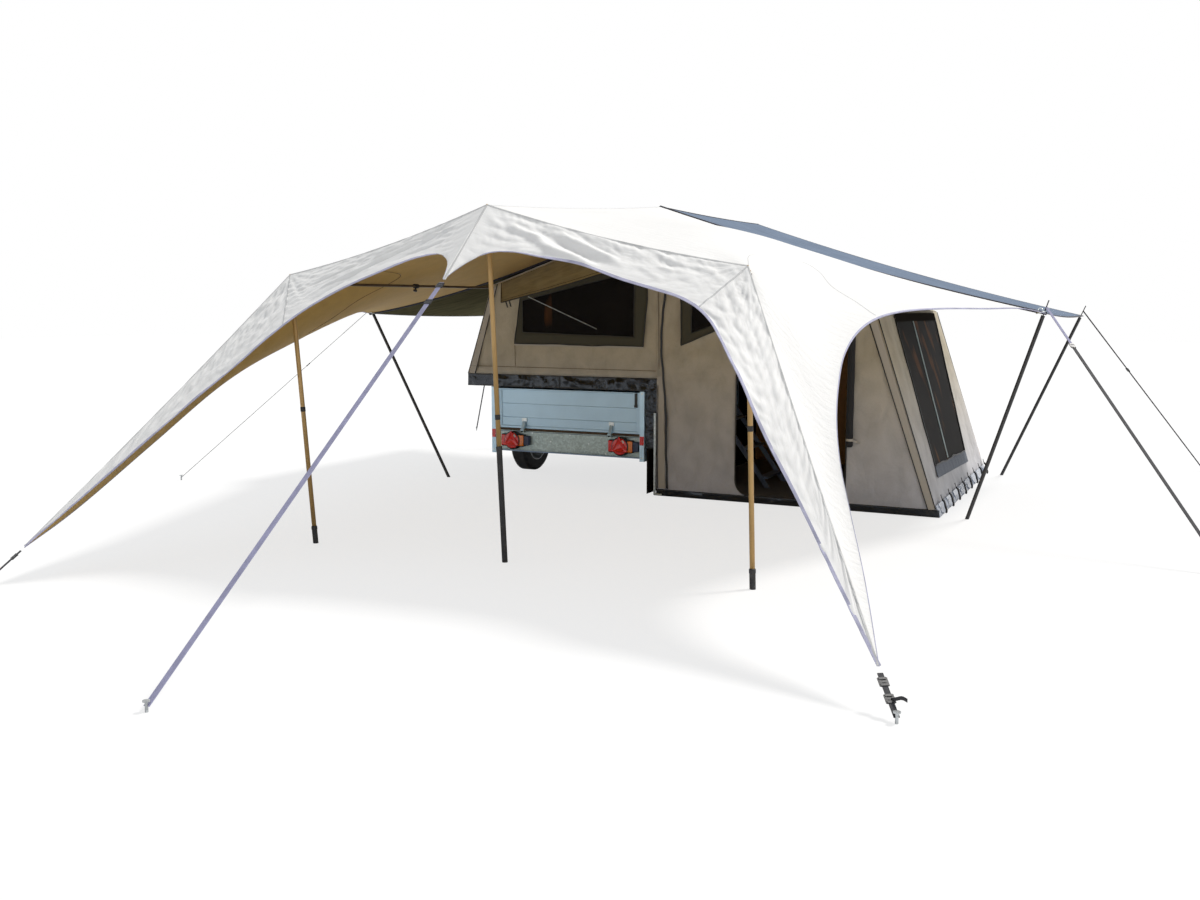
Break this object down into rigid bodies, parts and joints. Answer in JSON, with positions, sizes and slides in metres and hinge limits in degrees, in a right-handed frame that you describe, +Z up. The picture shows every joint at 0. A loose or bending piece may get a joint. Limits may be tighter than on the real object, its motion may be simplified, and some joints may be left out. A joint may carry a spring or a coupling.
{
  "type": "folding caravan with pitched tent and canopy",
  "caption": "Box trailer with a fold-out canvas tent, a fly roof and a scalloped sand canopy on poles, with opening tailgate and turning wheels.",
  "frame": {"origin": "bottom centre of the whole pitched caravan, on the ground", "axes": "+X to the right seen from behind the tailgate, +Y forward to the tow coupling, +Z up"},
  "size_m": [9.122, 10.012, 2.612],
  "materials": {
    "galvanised": "galvanised, matt",
    "alloy_planks": "anodised, satin",
    "alloy_posts": "anodised, satin",
    "deck": "resin-coated plywood",
    "tyre": "black rubber",
    "rim": "silver paint",
    "guard": "black moulded plastic",
    "lamp": "red and orange lens",
    "coupling": "black paint",
    "small_wheel": "solid rubber",
    "bed_board": "plywood with an alloy frame",
    "pvc": "glossy coated cloth",
    "mattress": "woven cover",
    "tent_canvas": "khaki cotton canvas",
    "window_mesh": "insect mesh",
    "door_canvas": "rolled door with mesh",
    "ground_sheet": "coated floor cloth",
    "mud_flap": "coated cloth",
    "steel_tube": "galvanised tube",
    "ladder": "dark blue-grey stiles, wooden treads",
    "fly_canvas": "coated roof cloth",
    "sand_canvas": "sand cotton canvas",
    "sand_pole": "sand paint",
    "black_pole": "black paint",
    "webbing": "woven strap",
    "peg_steel": "black coated steel"
  },
  "bodies": {
    "root": {"chassis_frame": "galvanised", "load_floor": "deck", "side_wall_left": "alloy_planks", "side_wall_right": "alloy_planks", "front_wall": "alloy_planks", "corner_posts": "alloy_posts", "lamp_plate": "galvanised", "tail_lamps": "lamp", "axle": "galvanised", "mudguards": "guard", "drawbar": "galvanised", "tow_coupling": "coupling", "jockey_tube": "galvanised", "bed_platform": "bed_board", "bed_skirt": "pvc", "mattress": "mattress", "near_wall_bed": "tent_canvas", "near_wall_living": "tent_canvas", "far_wall_bed": "tent_canvas", "far_wall_living": "tent_canvas", "bed_end_wall": "tent_canvas", "living_end_wall": "tent_canvas", "window_mesh": "window_mesh", "tent_roof": "tent_canvas", "door_roll": "door_canvas", "ground_sheet": "ground_sheet", "mud_flaps": "mud_flap", "tent_frame": "steel_tube", "ladder": "ladder", "window_awning": "tent_canvas", "fly_roof_left": "fly_canvas", "fly_roof_right": "fly_canvas", "canopy_top_left": "sand_canvas", "canopy_top_right": "sand_canvas", "canopy_front_left": "sand_canvas", "canopy_front_right": "sand_canvas", "canopy_side_left": "sand_canvas", "canopy_side_right": "sand_canvas", "canopy_poles": "sand_pole", "pole_sleeves": "black_pole", "fly_poles": "black_pole", "roof_bars": "sand_pole", "guy_straps": "webbing", "ground_pegs": "peg_steel"},
    "tailgate": {"tailgate": "alloy_planks"},
    "left_wheel": {"tyre_left": "tyre", "rim_left": "rim"},
    "right_wheel": {"tyre_right": "tyre", "rim_right": "rim"},
    "jockey_swivel": {"jockey_fork": "galvanised"},
    "jockey_roller": {"jockey_wheel": "small_wheel"}
  },
  "joints": [
    {"name": "tailgate_hinge", "type": "hinge", "parent": "root", "child": "tailgate", "pos_m": [-0.8775, 0.965, 0.535], "axis": [1, 0, 0], "range_deg": [0, 90]},
    {"name": "left_wheel_spin", "type": "hinge", "parent": "root", "child": "left_wheel", "pos_m": [-1.8275, 1.97, 0.29], "axis": [1, 0, 0], "continuous": true},
    {"name": "right_wheel_spin", "type": "hinge", "parent": "root", "child": "right_wheel", "pos_m": [0.0725, 1.97, 0.29], "axis": [1, 0, 0], "continuous": true},
    {"name": "jockey_swivel_turn", "type": "hinge", "parent": "root", "child": "jockey_swivel", "pos_m": [-0.61636, 4.28, 0.24], "axis": [0, 0, 1], "continuous": true},
    {"name": "jockey_wheel_roll", "type": "hinge", "parent": "jockey_swivel", "child": "jockey_roller", "pos_m": [-0.61636, 4.235, 0.1], "axis": [1, 0, 0], "continuous": true}
  ]
}
